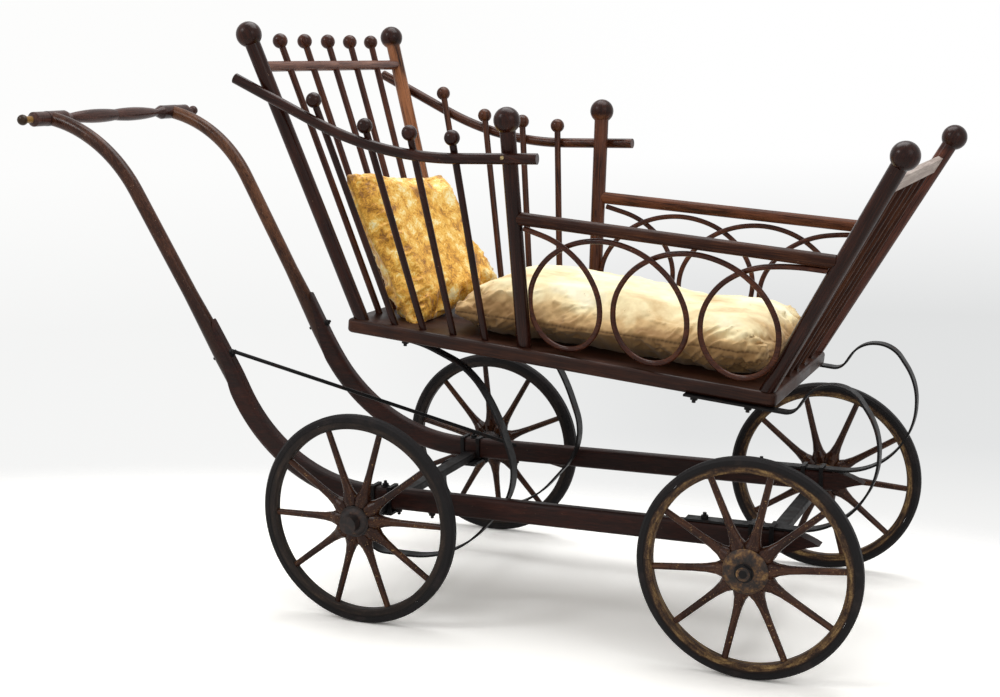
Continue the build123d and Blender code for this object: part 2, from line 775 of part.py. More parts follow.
# Brace: a thin iron rod across the frame, from one handle arm down to the other side rail
brace_r = 4
brace_back = 355  # upper end behind the rear axle
brace_back_z = 480
brace_ahead = 104  # lower end ahead of the rear axle
brace_front_z = 235
brace_from = Vector(rear_x - brace_back, -scarf_y + rail_w / 2, brace_back_z)
brace_to = Vector(rear_x + brace_ahead, rail_y - rail_w / 2, brace_front_z)
brace_past = (brace_to - brace_from).normalized() * overrun
with BuildPart() as brace:
    cross_rod(brace_from - brace_past, brace_to + brace_past, brace_r)
    split(bisect_by=Plane.XZ.offset(-brace_from.Y), keep=Keep.BOTTOM)
    split(bisect_by=Plane.XZ.offset(-brace_to.Y), keep=Keep.TOP)
brace.part.label = "brace_rod"
export_step(brace.part, "parts/brace_rod.step")

# Soft pieces: a mattress on the board and a cushion that stands on the board and leans on the back
mattress_from = 125
mattress_to = 742
mattress_w = 332
mattress_t = 104
mattress_round = 30
soft_gap = 0.3
with BuildPart() as mattress:
    with BuildSketch(board_top.offset(soft_gap)):
        with Locations(((mattress_from + mattress_to) / 2, 0)):
            RectangleRounded(mattress_to - mattress_from, mattress_w, 2 * mattress_round)
    extrude(amount=mattress_t)
    fillet(mattress.faces().filter_by(board_top).edges(), mattress_round)
mattress.part.label = "mattress"
export_step(mattress.part, "parts/mattress.step")

cushion_w = 292
cushion_h = 300
cushion_t = 80
cushion_round = 34
cushion_foot = 18  # its lower back edge ahead of the rear axle
back_lean = atan2(back_foot.X - back_tip.X, back_tip.Z - back_foot.Z)
foot_x = rear_x + cushion_foot
foot_z = top_height(foot_x) + soft_gap
# Turned back from the spindles' own lean until its rounded upper edge meets them
off_spindles = (
    (foot_x - back_foot.X) * cos(back_lean)
    + (foot_z - back_foot.Z) * sin(back_lean)
    - spindle_d / 2
    - soft_gap
)
round_along = cushion_h - cushion_round
round_turn = asin((off_spindles - cushion_round) / hypot(round_along, cushion_round))
cushion_lean = back_lean + round_turn + atan2(cushion_round, round_along)
cushion_plane = Plane(
    origin=(foot_x, 0, foot_z),
    x_dir=(0, 1, 0),
    z_dir=(cos(cushion_lean), 0, sin(cushion_lean)),
)
with BuildPart() as cushion:
    with BuildSketch(cushion_plane):
        with Locations((0, cushion_h / 2)):
            RectangleRounded(cushion_w, cushion_h, 2 * cushion_round)
    extrude(amount=cushion_t)
    fillet(cushion.faces().filter_by(cushion_plane).edges(), cushion_round)
cushion.part.label = "back_cushion"
export_step(cushion.part, "parts/back_cushion.step")
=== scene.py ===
import json
import math

import bpy
from mathutils import Matrix, Vector, noise


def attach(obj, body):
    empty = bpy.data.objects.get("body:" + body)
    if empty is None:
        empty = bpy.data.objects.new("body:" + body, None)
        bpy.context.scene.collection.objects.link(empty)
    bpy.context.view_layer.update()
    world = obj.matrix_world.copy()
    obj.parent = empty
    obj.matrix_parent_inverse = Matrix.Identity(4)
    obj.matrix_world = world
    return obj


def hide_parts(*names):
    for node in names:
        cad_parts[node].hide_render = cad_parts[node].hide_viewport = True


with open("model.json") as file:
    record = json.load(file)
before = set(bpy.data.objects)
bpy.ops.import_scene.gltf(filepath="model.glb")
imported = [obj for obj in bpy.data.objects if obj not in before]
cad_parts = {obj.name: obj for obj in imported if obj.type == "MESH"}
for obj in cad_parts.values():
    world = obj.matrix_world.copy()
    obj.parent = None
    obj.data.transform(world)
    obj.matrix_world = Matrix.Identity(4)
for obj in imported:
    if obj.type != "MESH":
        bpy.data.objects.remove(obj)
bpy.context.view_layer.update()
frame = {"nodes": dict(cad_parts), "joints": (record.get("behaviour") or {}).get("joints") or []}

scene = bpy.context.scene
print("frame loaded:", len(frame["nodes"]), "nodes")

mm = 0.001
sides = {"right": -1, "left": 1}
rearX = [j["pos_m"][0] for j in frame["joints"] if j["name"].startswith("rear")][0]
frontX = [j["pos_m"][0] for j in frame["joints"] if j["name"].startswith("front")][0]
rearAxleZ, frontAxleZ = 203 * mm, 196 * mm
boardZ, boardFall = 561 * mm, 0.106  # top of the floor board over the rear axle, and its fall towards the foot
seatGap = 0.3 * mm

# Camera: eye height and distance of a person who stands off the near corner of the foot end
eye = {"place": (1.23255, -2.717, 1.0402), "yaw": 23.739, "pitch": -10.594, "roll": -0.965, "lens": 54.21}
cameraData = bpy.data.cameras.new("studioCamera")
cameraData.lens = eye["lens"]
cameraData.sensor_width = 36
camera = bpy.data.objects.new("studioCamera", cameraData)
scene.collection.objects.link(camera)
camera.matrix_world = (
    Matrix.Translation(eye["place"])
    @ Matrix.Rotation(math.radians(eye["yaw"]), 4, "Z")
    @ Matrix.Rotation(math.radians(90 + eye["pitch"]), 4, "X")
    @ Matrix.Rotation(math.radians(eye["roll"]), 4, "Z")
)
scene.camera = camera
scene.view_settings.view_transform = "Standard"
print("camera set")


def linear(code):  # sRGB hex to scene linear
    parts = [int(code[i : i + 2], 16) / 255 for i in (1, 3, 5)]
    return [p / 12.92 if p <= 0.04045 else ((p + 0.055) / 1.055) ** 2.4 for p in parts] + [1.0]


def addNode(tree, kind, values=None, links=None, ramp=None, **settings):
    node = tree.nodes.new(kind)
    for key, value in settings.items():
        setattr(node, key, value)
    for key, value in (values or {}).items():
        node.inputs[key].default_value = value
    for key, socket in (links or {}).items():
        tree.links.new(socket, node.inputs[key])
    if ramp:
        stops = node.color_ramp.elements
        while len(stops) < len(ramp):
            stops.new(0.5)
        for stop, (place, tone) in zip(stops, ramp):
            stop.position = place
            stop.color = linear(tone)
    return node


def calc(tree, operation, *parts):  # one Math node over sockets and plain numbers
    numbers = {at: part for at, part in enumerate(parts) if isinstance(part, (int, float))}
    sockets = {at: part for at, part in enumerate(parts) if at not in numbers}
    return addNode(tree, "ShaderNodeMath", numbers, sockets, operation=operation).outputs[0]


def spread(tree, value, low, high, first=0.0, last=1.0):  # a value taken from one range to another
    limits = {"From Min": low, "From Max": high, "To Min": first, "To Max": last}
    return addNode(tree, "ShaderNodeMapRange", limits, {"Value": value}).outputs[0]


def speckle(tree, place, scale, detail, rough=0.5, twist=0.0):
    looks = {"Scale": scale, "Detail": detail, "Roughness": rough, "Distortion": twist}
    return addNode(tree, "ShaderNodeTexNoise", looks, {"Vector": place}).outputs[0]


def stretched(tree, place, factors):
    return addNode(tree, "ShaderNodeVectorMath", {1: factors}, {0: place}, operation="MULTIPLY").outputs[0]


def ramped(tree, value, ramp):
    return addNode(tree, "ShaderNodeValToRGB", links={0: value}, ramp=ramp).outputs[0]


def overlaid(tree, share, below, tone):  # one plain tone over a colour
    ends = {"Factor": share, "A": below}
    return addNode(tree, "ShaderNodeMix", {"B": linear(tone)}, ends, data_type="RGBA").outputs["Result"]


def raised(tree, height, strength, depth, below=None, **settings):
    ends = {"Height": height} if below is None else {"Height": height, "Normal": below}
    return addNode(tree, "ShaderNodeBump", {"Strength": strength, "Distance": depth}, ends, **settings).outputs[0]


def objectPlace(tree):
    return addNode(tree, "ShaderNodeTexCoord").outputs["Object"]


def objectAxes(tree):
    return list(addNode(tree, "ShaderNodeSeparateXYZ", links={0: objectPlace(tree)}).outputs)


def shareOf(tree, name):  # a share that the mesh carries in an attribute
    return addNode(tree, "ShaderNodeAttribute", attribute_name=name).outputs["Fac"]


def surfaced(tree, values, links):
    shader = addNode(tree, "ShaderNodeBsdfPrincipled", values, links)
    addNode(tree, "ShaderNodeOutputMaterial", links={"Surface": shader.outputs[0]})


def newFinish(name):
    finish = bpy.data.materials.new(name)
    finish.use_nodes = True
    finish.node_tree.nodes.clear()
    return finish, finish.node_tree


def giveFinish(piece, finish):
    if not piece.material_slots:
        piece.data.materials.append(finish)
    for place in piece.material_slots:
        place.material = finish


def turnTo(run):  # Euler angles that lay local Z along a run of the wood
    return Vector(run).normalized().to_track_quat("Z", "Y").to_euler()


def grainSpace(tree, look):  # coordinates in metres: X and Y across the grain, Z along it
    x, y, z = objectAxes(tree)
    if "wheelX" in look:
        lowX = calc(tree, "SUBTRACT", x, look["wheelX"])
        lowZ = calc(tree, "SUBTRACT", z, look["wheelZ"])
        turn = calc(tree, "ARCTAN2", lowZ, lowX)
        radius = calc(tree, "SQRT", calc(tree, "MULTIPLY_ADD", lowZ, lowZ, calc(tree, "MULTIPLY", lowX, lowX)))
        around = calc(tree, "MULTIPLY", turn, look["aroundRadius"])
        across, along = (around, radius) if look.get("radial") else (radius, around)
        ends = {"X": across, "Y": y, "Z": along}
        return addNode(tree, "ShaderNodeCombineXYZ", links=ends).outputs[0], radius
    left = calc(tree, "GREATER_THAN", y, 0.0)
    ends = {
        "X": calc(tree, "MULTIPLY_ADD", left, 0.731, x),  # the left side is cut from other wood than the right
        "Y": calc(tree, "ABSOLUTE", y),
        "Z": z,
    }
    folded = addNode(tree, "ShaderNodeCombineXYZ", links=ends).outputs[0]
    turn = {"Rotation": turnTo(look["run"])}
    return addNode(tree, "ShaderNodeMapping", turn, {"Vector": folded}, vector_type="TEXTURE").outputs[0], left


woodDefaults = {
    "stretch": 18, "nickFrom": 0.80, "wornTone": "#9a7d66", "smooth": 0.16, "dull": 0.34, "sheen": 0.18,
    "poreRaise": 0.4 * mm, "ringTone": "#140a08", "ringShare": 0.7, "ringHalf": 0.9 * mm,
    "footHeights": (0.68, 0.50), "footShare": 0.8,
}


def varnishedWood(name, look):  # dark varnished beech: fine long pores, soft gloss, pale nicks where varnish is lost
    look = {**woodDefaults, **look}
    finish, tree = newFinish(name)
    along, left = grainSpace(tree, look)
    fine = speckle(tree, stretched(tree, along, (450, 450, look["stretch"])), 1.0, 4.0, 0.6)  # 2 mm by 55 mm pores
    broad = speckle(tree, stretched(tree, along, (60, 60, 7)), 1.0, 3.0, 0.55, 0.4)  # 17 mm by 140 mm figure
    patch = speckle(tree, along, 14.0, 3.0)  # 70 mm patches of thicker varnish
    nicks = speckle(tree, along, 210.0, 2.0, 0.7)  # 5 mm nicks
    mixed = calc(tree, "MULTIPLY", fine, 0.45)
    mixed = calc(tree, "MULTIPLY_ADD", broad, 0.35, mixed)
    mixed = calc(tree, "MULTIPLY_ADD", patch, 0.2, mixed)
    colour = ramped(tree, mixed, list(zip((0.30, 0.47, 0.60, 0.76), look["tones"])))
    worn = spread(tree, calc(tree, "MULTIPLY_ADD", patch, 0.12, nicks), look["nickFrom"], 0.86)
    colour = overlaid(tree, worn, colour, look["wornTone"])
    across, height = objectAxes(tree)[1:]
    if "farLitTone" in look:  # painted light: the left side's pieces are painted lighter and browner where they face the light
        farLight = calc(tree, "MULTIPLY", spread(tree, mixed, 0.40, 0.56, 0.0, look["farLitShare"]), left)
        if "farBelow" in look:  # the ball above gets none of this painted light
            ball = spread(tree, height, look["farBelow"], look["farBelow"] + 8 * mm, 1.0, 0.0)
            farLight = calc(tree, "MULTIPLY", farLight, ball)
        colour = overlaid(tree, farLight, colour, look["farLitTone"])
    if "footTone" in look:  # the arm darkens towards its joint, like the rail that it is scarfed to
        down = spread(tree, height, *look["footHeights"], 0.0, look["footShare"])
        colour = overlaid(tree, down, colour, look["footTone"])
    for ring in look.get("rings", ()):  # turned lines, dark with old polish
        line = calc(tree, "COMPARE", calc(tree, "ABSOLUTE", across), ring, look["ringHalf"])
        colour = overlaid(tree, calc(tree, "MULTIPLY", line, look["ringShare"]), colour, look["ringTone"])
    for start, tone in look.get("wornEnd", ()):  # the right end's ball has lost its varnish, its tip is dark
        colour = overlaid(tree, spread(tree, across, start, start - 4 * mm, 0.0, 0.9), colour, tone)
    gloss = spread(tree, patch, 0.3, 0.7, look["smooth"], look["dull"])
    gloss = calc(tree, "MULTIPLY_ADD", worn, 0.25, gloss)
    grain = raised(tree, fine, 0.35, look["poreRaise"])
    grain = raised(tree, worn, 0.6, look["poreRaise"], grain, invert=True)
    surfaced(
        tree, {"Specular IOR Level": look["sheen"]}, {"Base Color": colour, "Roughness": gloss, "Normal": grain}
    )
    return finish


darkTones = ("#0f0403", "#210d08", "#361910", "#5e3522")
warmTones = ("#1c0b07", "#371a11", "#562e1b", "#804d31")
boardTones = ("#120604", "#25110a", "#3c2014", "#603b27")
backRailTones = ("#2a1812", "#54342a", "#795648", "#a37e6e")
railTones = ("#150805", "#2c150c", "#4a2a19", "#704a30")
sideRailTones = ("#0e0403", "#1f0c08", "#31150e", "#4e2c1b")
armTones = ("#170a07", "#341d14", "#513224", "#77503a")
handleTones = ("#1c0f0e", "#35221e", "#50352e", "#72503f")
# painted reflection: pale grey tones for the light that the lath reflects from above
lathSheenTones = ("#6f625b", "#998c85", "#b8aca4", "#cfc5bd")
# the far tones and shares are painted light on the left side's pieces
woodRuns = {
    "rear_posts": {
        "run": (-167, 93, 546), "tones": darkTones, "farLitTone": "#9a6442", "farLitShare": 0.9, "farBelow": 1.088,
    },
    "mid_posts": {
        "run": (-2, 61, 417), "tones": darkTones, "farLitTone": "#744630", "farLitShare": 0.5, "farBelow": 0.935,
    },
    "foot_posts": {
        "run": (231, 101, 412), "tones": darkTones, "farLitTone": "#66392a", "farLitShare": 0.6, "farBelow": 0.866,
    },
    "back_rail": {"run": (0, 1, 0), "tones": backRailTones},
    "back_spindles": {"run": (-167, 20, 546), "tones": warmTones},
    "foot_spindles": {"run": (231, 20, 362), "tones": railTones, "smooth": 0.4, "dull": 0.6, "sheen": 0.08},
    "handle_bar": {
        "run": (0, 1, 0), "tones": handleTones,
        "rings": (0.177, 0.183, 0.216, 0.2245, 0.246, 0.252), "wornEnd": ((-0.268, "#86652f"), (-0.290, "#1c1113")),
    },
    "floor_board": {"run": (1, 0, -boardFall), "tones": boardTones, "smooth": 0.34, "dull": 0.55},
    "arm_rail": {"run": (1, 0, -0.35), "tones": darkTones, "farLitTone": "#744630", "farLitShare": 0.4},
    "side_spindles": {"run": (-60, 70, 380), "tones": darkTones, "farLitTone": "#6b4029", "farLitShare": 0.5},
    "leg_rail": {
        "run": (560, 20, -56), "tones": railTones, "farLitTone": "#744630", "farLitShare": 0.6,
        "smooth": 0.3, "dull": 0.5, "sheen": 0.12,
    },
    "loop_fret": {"run": (1, 0, -0.1), "tones": warmTones, "stretch": 90},
    "side_rail": {"run": (1, 0, 0), "tones": sideRailTones, "dull": 0.58, "smooth": 0.42, "stretch": 40},
    "handle_arm": {
        "run": (-0.485, 0, 0.875), "tones": armTones, "farLitTone": "#6a452c", "farLitShare": 0.5,
        "nickFrom": 0.72, "stretch": 90, "footTone": "#200f0a",
    },
}
for kind, look in woodRuns.items():
    finish = varnishedWood("varnishedBeech_" + kind, look)
    for name, piece in frame["nodes"].items():
        if name in (kind, kind + "_left", kind + "_right"):
            giveFinish(piece, finish)
lathSheenLook = {"run": (0, 1, 0), "tones": lathSheenTones, "dull": 0.7, "smooth": 0.55, "wornTone": "#d5cbc0"}
giveFinish(frame["nodes"]["foot_rail"], varnishedWood("paleSheenAsh_foot_rail", lathSheenLook))  # painted reflection: its pale grey stands in for the light that its top reflects from above

wheelSets = {
    "rear": {"wheelX": rearX, "wheelZ": rearAxleZ, "spokes": ("#110604", "#28130b", "#472a18", "#7a5534")},
    "front": {"wheelX": frontX, "wheelZ": frontAxleZ, "spokes": ("#140805", "#2e1810", "#4e3121", "#8a6b47")},
}
for axle, wheel in wheelSets.items():
    look = {**wheel, "aroundRadius": 0.1, "radial": True, "tones": wheel["spokes"], "nickFrom": 0.69}
    finish = varnishedWood("varnishedBeech_spokes_" + axle, {**look, "wornTone": "#a98455"})
    for side in sides:
        giveFinish(frame["nodes"][f"{axle}_spokes_{side}"], finish)
print("wood finished")


def blackedIron(name, look):  # stove-blacked strip iron: satin black, rust bloom in small patches
    finish, tree = newFinish(name)
    place = objectPlace(tree)
    bloom = speckle(tree, place, 40.0, 6.0, 0.65)  # 25 mm patches
    grit = speckle(tree, place, 600.0, 3.0)  # 1.7 mm scale grit
    ends = {"A": linear(look["black"]), "B": linear(look["rust"])}
    rust = {"Factor": spread(tree, bloom, 0.56, 0.70)}
    colour = addNode(tree, "ShaderNodeMix", ends, rust, data_type="RGBA").outputs["Result"]
    gloss = spread(tree, bloom, 0.35, 0.7, look["smooth"], look["dull"])
    grain = raised(tree, grit, 0.35, 0.5 * mm)
    surfaced(
        tree, {"Metallic": 0.0, "Specular IOR Level": look["sheen"]},
        {"Base Color": colour, "Roughness": gloss, "Normal": grain},
    )
    return finish


ironLook = {"black": "#0d0b0c", "rust": "#2b1b16", "smooth": 0.40, "dull": 0.65, "sheen": 0.18}
iron = blackedIron("stoveBlackedIron", ironLook)
for name in ("rear_axle", "front_axle", "axle_clips", "spring_bolts", "brace_rod"):
    giveFinish(frame["nodes"][name], iron)
for side in sides:
    giveFinish(frame["nodes"]["rear_spring_" + side], iron)
    giveFinish(frame["nodes"]["front_spring_" + side], iron)


def agedRubber(name):  # old solid rubber: matt black, dusty, fine crazing round the tread
    finish, tree = newFinish(name)
    place = objectPlace(tree)
    dust = speckle(tree, place, 22.0, 5.0, 0.6)  # 45 mm dusty areas
    craze = addNode(
        tree, "ShaderNodeTexVoronoi", {"Scale": 260.0}, {"Vector": place}, feature="DISTANCE_TO_EDGE"  # 4 mm cells
    ).outputs[0]
    colour = ramped(tree, dust, [(0.32, "#0c0a0b"), (0.52, "#151213"), (0.74, "#2d2726")])
    gloss = spread(tree, dust, 0.3, 0.7, 0.55, 0.8)
    grain = raised(tree, spread(tree, craze, 0.0, 0.06), 0.12, 0.3 * mm)
    surfaced(tree, {"Specular IOR Level": 0.2}, {"Base Color": colour, "Roughness": gloss, "Normal": grain})
    return finish


def wornPaint(name, look):  # painted felloe: line paint worn down to dark wood, bare beside the tyre
    finish, tree = newFinish(name)
    along, radius = grainSpace(tree, look)
    flakes = speckle(tree, stretched(tree, along, (130, 130, 26)), 1.0, 6.0, 0.68)  # 8 mm by 38 mm
    specks = speckle(tree, along, 420.0, 2.0)  # 2.4 mm specks
    edge = spread(tree, radius, look["paintOut"] - 4 * mm, look["paintOut"], 0.0, -0.3)
    level = calc(tree, "ADD", calc(tree, "MULTIPLY_ADD", specks, 0.25, flakes), edge)
    colour = ramped(tree, level, look["ramp"])
    grain = raised(tree, level, 0.4, 0.6 * mm)
    surfaced(tree, {"Roughness": 0.6, "Specular IOR Level": 0.2}, {"Base Color": colour, "Normal": grain})
    return finish


def rustedHub(name, look):  # brown oxide on turned iron, blotched and pitted
    finish, tree = newFinish(name)
    place = objectPlace(tree)
    bloom = speckle(tree, place, 75.0, 6.0, 0.7)  # 13 mm blooms
    pits = speckle(tree, place, 380.0, 3.0)  # 2.6 mm pits
    colour = ramped(tree, bloom, look["ramp"])
    grain = raised(tree, pits, 0.5, 0.6 * mm)
    surfaced(tree, {"Roughness": 0.55, "Metallic": look["metal"]}, {"Base Color": colour, "Normal": grain})
    return finish


rubber = agedRubber("agedSolidRubber")
felloeRamps = {
    "rear": [(0.40, "#120e0d"), (0.60, "#1f1815"), (0.74, "#2e241e"), (0.86, "#43362b")],
    "front": [(0.42, "#170e0a"), (0.56, "#33231a"), (0.68, "#5f482e"), (0.82, "#957a4e")],
}
hubRamps = {
    "rear": [(0.35, "#0d0908"), (0.5, "#1c1210"), (0.62, "#35231b"), (0.75, "#5a3f2b")],
    "front": [(0.36, "#140e0b"), (0.47, "#2e2018"), (0.57, "#5b3f24"), (0.70, "#8f7040")],
}
tyreDepth = 13 * mm
for axle, wheel in wheelSets.items():
    paintLook = {**wheel, "aroundRadius": 0.18, "paintOut": wheel["wheelZ"] - tyreDepth, "ramp": felloeRamps[axle]}
    paint = wornPaint(axle + "FelloePaint", paintLook)
    metal = rustedHub(axle + "HubIron", {"ramp": hubRamps[axle], "metal": 0.3})
    for side in sides:
        giveFinish(frame["nodes"][f"{axle}_tyre_{side}"], rubber)
        giveFinish(frame["nodes"][f"{axle}_felloe_{side}"], paint)
        giveFinish(frame["nodes"][f"{axle}_hub_{side}"], metal)
print("iron, rubber, paint and hubs finished")


def threads(tree, place, scale, uneven, way):  # evenly spaced threads that run across one axis
    looks = {"Scale": scale, "Distortion": uneven}
    return addNode(tree, "ShaderNodeTexWave", looks, {"Vector": place}, bands_direction=way).outputs[1]


def agedCotton(name):  # unbleached cotton ticking: cream with tan stains, painted shade making it darker low down, plain weave
    finish, tree = newFinish(name)
    place = objectPlace(tree)
    soil = speckle(tree, place, 9.0, 5.0, 0.6)  # 110 mm stains
    spots = speckle(tree, place, 120.0, 2.0)  # 8 mm spots
    # painted shade, darker low down, added to the stains
    level = calc(tree, "MULTIPLY_ADD", shareOf(tree, "paintedShadeShare"), 0.62, soil)
    colour = ramped(tree, level, [(0.38, "#fcf5d8"), (0.55, "#f1e1b4"), (0.73, "#d0b07e"), (0.92, "#9a784e")])
    colour = overlaid(tree, spread(tree, spots, 0.70, 0.76, 0.0, 0.5), colour, "#a07e52")
    colour = overlaid(tree, shareOf(tree, "seamShare"), colour, "#4a3524")
    warp = threads(tree, place, 250.0, 0.6, "X")  # 1.3 mm threads
    weft = threads(tree, place, 250.0, 0.6, "Y")
    grain = raised(tree, calc(tree, "ADD", warp, weft), 0.2, 0.3 * mm)
    surfaced(
        tree, {"Roughness": 0.85, "Specular IOR Level": 0.2, "Sheen Weight": 0.15, "Sheen Roughness": 0.5},
        {"Base Color": colour, "Normal": grain},
    )
    return finish


def figuredSilk(name, look):  # figured silk: satin ground, blotchy cream and ochre leaves, soft gloss on the folds
    finish, tree = newFinish(name)
    lean = {"Rotation": (0, math.radians(look["lean"]), 0)}
    laid = addNode(tree, "ShaderNodeMapping", lean, {"Vector": objectPlace(tree)}, vector_type="TEXTURE").outputs[0]
    swirl = addNode(tree, "ShaderNodeTexNoise", {"Scale": 32.0, "Detail": 2.0}, {"Vector": laid}).outputs[1]  # 30 mm
    reach = (22 * mm, 22 * mm, 22 * mm)
    swirled = addNode(
        tree, "ShaderNodeVectorMath", {1: reach}, {0: swirl, 2: laid}, operation="MULTIPLY_ADD"
    ).outputs[0]
    blooms = addNode(tree, "ShaderNodeTexVoronoi", {"Scale": 26.0, "Randomness": 0.85}, {"Vector": swirled})  # 38 mm
    petals = addNode(
        tree, "ShaderNodeTexVoronoi", {"Scale": 75.0, "Randomness": 0.9}, {"Vector": swirled}, feature="SMOOTH_F1"
    )  # 13 mm
    veins = speckle(tree, swirled, 120.0, 5.0, 0.72, 1.6)  # 8 mm
    clouds = speckle(tree, laid, 13.0, 3.0)  # 75 mm fading
    level = calc(tree, "MULTIPLY_ADD", blooms.outputs[0], -0.30, 0.30)
    level = calc(tree, "MULTIPLY_ADD", petals.outputs[0], -0.22, level)
    level = calc(tree, "MULTIPLY_ADD", veins, 0.75, level)
    level = calc(tree, "MULTIPLY_ADD", clouds, 0.40, level)
    level = calc(tree, "MULTIPLY_ADD", shareOf(tree, "paintedShadeShare"), -0.06, level)  # painted shade: the right side is darker
    colour = ramped(tree, level, look["ramp"])
    colour = overlaid(tree, calc(tree, "MULTIPLY", shareOf(tree, "seamShare"), 0.6), colour, "#6d4a1c")
    grain = raised(tree, threads(tree, laid, 330.0, 0.8, "Z"), 0.15, 0.3 * mm)  # 1 mm ribs
    grain = raised(tree, level, 0.3, 0.8 * mm, grain)
    surfaced(
        tree, {"Roughness": 0.5, "Specular IOR Level": 0.4, "Sheen Weight": 0.3, "Sheen Roughness": 0.4},
        {"Base Color": colour, "Normal": grain},
    )
    return finish


def softStep(low, high, value):
    share = min(1.0, max(0.0, (value - low) / (high - low)))
    return share * share * (3 - 2 * share)


def easedRow(rows, at):  # a value from a short table, eased between its rows
    for (low, before), (high, after) in zip(rows, rows[1:]):
        if at <= high:
            return before + (after - before) * softStep(low, high, at)
    return rows[-1][1]


def clamped(value, low, high):
    return min(max(value, low), high)


def alone(piece):
    bpy.ops.object.select_all(action="DESELECT")
    piece.select_set(True)
    bpy.context.view_layer.objects.active = piece


def seamHeight(pad, share):  # share 0 at the rear end, 1 at the other
    low, high = pad["seamAt"]
    return low + (high - low) * share


def aboveSeam(pad, at):
    return at.z - seamHeight(pad, at.x / pad["size"][0] + 0.5)


def rimShare(pad, at):  # 1 on the outline
    return max(abs(at.x) / (pad["size"][0] / 2), abs(at.y) / (pad["size"][1] / 2))


def cutBag(name, pad):  # the slack bag: thin at its rim, thick in its middle
    bpy.ops.object.select_all(action="DESELECT")
    bpy.ops.mesh.primitive_cube_add(size=2)
    piece = bpy.context.object
    piece.name = name
    bpy.ops.object.mode_set(mode="EDIT")
    bpy.ops.mesh.subdivide(number_cuts=21)
    bpy.ops.object.mode_set(mode="OBJECT")
    length, width, height = pad["size"]
    for vertex in piece.data.vertices:
        u, v, w = vertex.co
        crown = (1 - abs(u) ** pad["endPower"][u >= 0]) * (1 - abs(v) ** pad["sidePower"])
        rim = pad["edgeShare"] * (1 - pad["cornerPinch"] * (u * v) ** 4)
        share = rim + (1 - rim) * max(0.0, crown) ** pad["crownPower"]
        corner = 1 - pad["cornerPull"] * (u * u * v * v) ** 2
        edge = 1 - pad["edgeBelly"] * (w * w)
        seamZ = seamHeight(pad, (u + 1) / 2)
        reach = (height - seamZ) * easedRow(pad["lumps"], u) if w > 0 else seamZ
        vertex.co = (
            u * length / 2 * (edge if abs(u) > abs(v) else 1) * corner * (1 - pad["waist"] * (1 - v * v)),
            v * width / 2 * (edge if abs(v) >= abs(u) else 1) * corner * (1 - pad["waist"] * (1 - u * u)),
            seamZ + w * reach * share * pad["startShare"],
        )
    alone(piece)
    piece.data.remesh_voxel_size = pad["voxel"]
    bpy.ops.object.voxel_remesh()
    return piece


def blowUp(piece, pad):  # pressure inside the bag, its seam and a flat foot held, 20 frames of cloth simulation
    group = piece.vertex_groups.new(name="held")
    for vertex in piece.data.vertices:
        onSeam = abs(aboveSeam(pad, vertex.co)) < pad["voxel"] * 0.8
        if onSeam and rimShare(pad, vertex.co) > 0.9 or pad["flatFoot"] and vertex.co.z < 2 * mm:
            group.add([vertex.index], 1.0, "REPLACE")
    cloth = piece.modifiers.new("cloth", "CLOTH")
    cloth.settings.quality = 6
    cloth.settings.use_pressure = True
    cloth.settings.uniform_pressure_force = pad["pressure"]
    cloth.settings.shrink_min = -pad["spareCloth"]
    cloth.settings.bending_stiffness = pad["stiffness"]
    cloth.settings.effector_weights.gravity = 0
    cloth.settings.vertex_group_mass = "held"
    for step in range(1, 21):
        scene.frame_set(step)
    blown = piece.evaluated_get(bpy.context.evaluated_depsgraph_get()).to_mesh()
    moved = [vertex.co.copy() for vertex in blown.vertices]
    piece.evaluated_get(bpy.context.evaluated_depsgraph_get()).to_mesh_clear()
    piece.modifiers.clear()
    scene.frame_set(1)
    for vertex, after in zip(piece.data.vertices, moved):
        step = after - vertex.co
        if step.length > pad["cap"]:
            step *= pad["cap"] / step.length
        vertex.co += step
    piece.vertex_groups.clear()


def sewPad(name, pad):  # a sewn bag, blown up, then creased and stood at its place
    piece = cutBag(name, pad)
    blowUp(piece, pad)
    alone(piece)
    finer = piece.modifiers.new("finer", "SUBSURF")
    finer.levels = finer.render_levels = 1
    bpy.ops.object.modifier_apply(modifier="finer")
    piece.data.update()
    length, width, height = pad["size"]
    over = pad["over"]
    normals = [vertex.normal.copy() for vertex in piece.data.vertices]
    # the first share is painted shade: 1 where the pad is painted darker
    paintedShadeShare = piece.data.attributes.new("paintedShadeShare", "FLOAT", "POINT")
    seamShare = piece.data.attributes.new("seamShare", "FLOAT", "POINT")
    for vertex, normal in zip(piece.data.vertices, normals):
        at = vertex.co.copy()
        push, seamy = pad["crease"](at, normal, aboveSeam(pad, at), rimShare(pad, at))
        vertex.co += normal * push
        vertex.co.z = clamped(vertex.co.z, 0.0, height + over)
        vertex.co.x = clamped(vertex.co.x, -length / 2 - over, length / 2 + over)
        vertex.co.y = clamped(vertex.co.y, -width / 2 - over, width / 2 + over)
        seamShare.data[vertex.index].value = seamy
        paintedShadeShare.data[vertex.index].value = 1 - pad["litShare"](at.x / length, at.z / height)
    if "turn" in pad:
        for vertex in piece.data.vertices:
            vertex.co = pad["turn"](vertex.co)
    piece.data.transform(pad["stand"])
    for vertex in piece.data.vertices:  # nothing sinks into the floor board
        vertex.co.z = max(vertex.co.z, boardZ - boardFall * (vertex.co.x - rearX) + seatGap)
    piece.data.update()
    alone(piece)
    bpy.ops.object.shade_smooth()
    return piece


def fold(at, height, run, across, seed):  # a crease, long along its run
    value = noise.noise(Vector((at.x / across, at.y / run, at.z / run + seed)))
    return height * max(0.0, 1 - abs(value) * 3.2)


def tipped(first, second, up, lean):  # a place in axes that lean with the folds
    cosine, sine = lean
    return Vector((first * cosine - up * sine, second, first * sine + up * cosine))


def swell(at, height, reach):  # soft unevenness as wide as its reach
    return height * noise.noise(Vector((at.x / reach, at.y / reach, at.z / reach)))


def nearSeam(above, rim, reach, rimFrom):
    return math.exp(-((above / reach) ** 2)) * softStep(rimFrom, 0.95, rim)


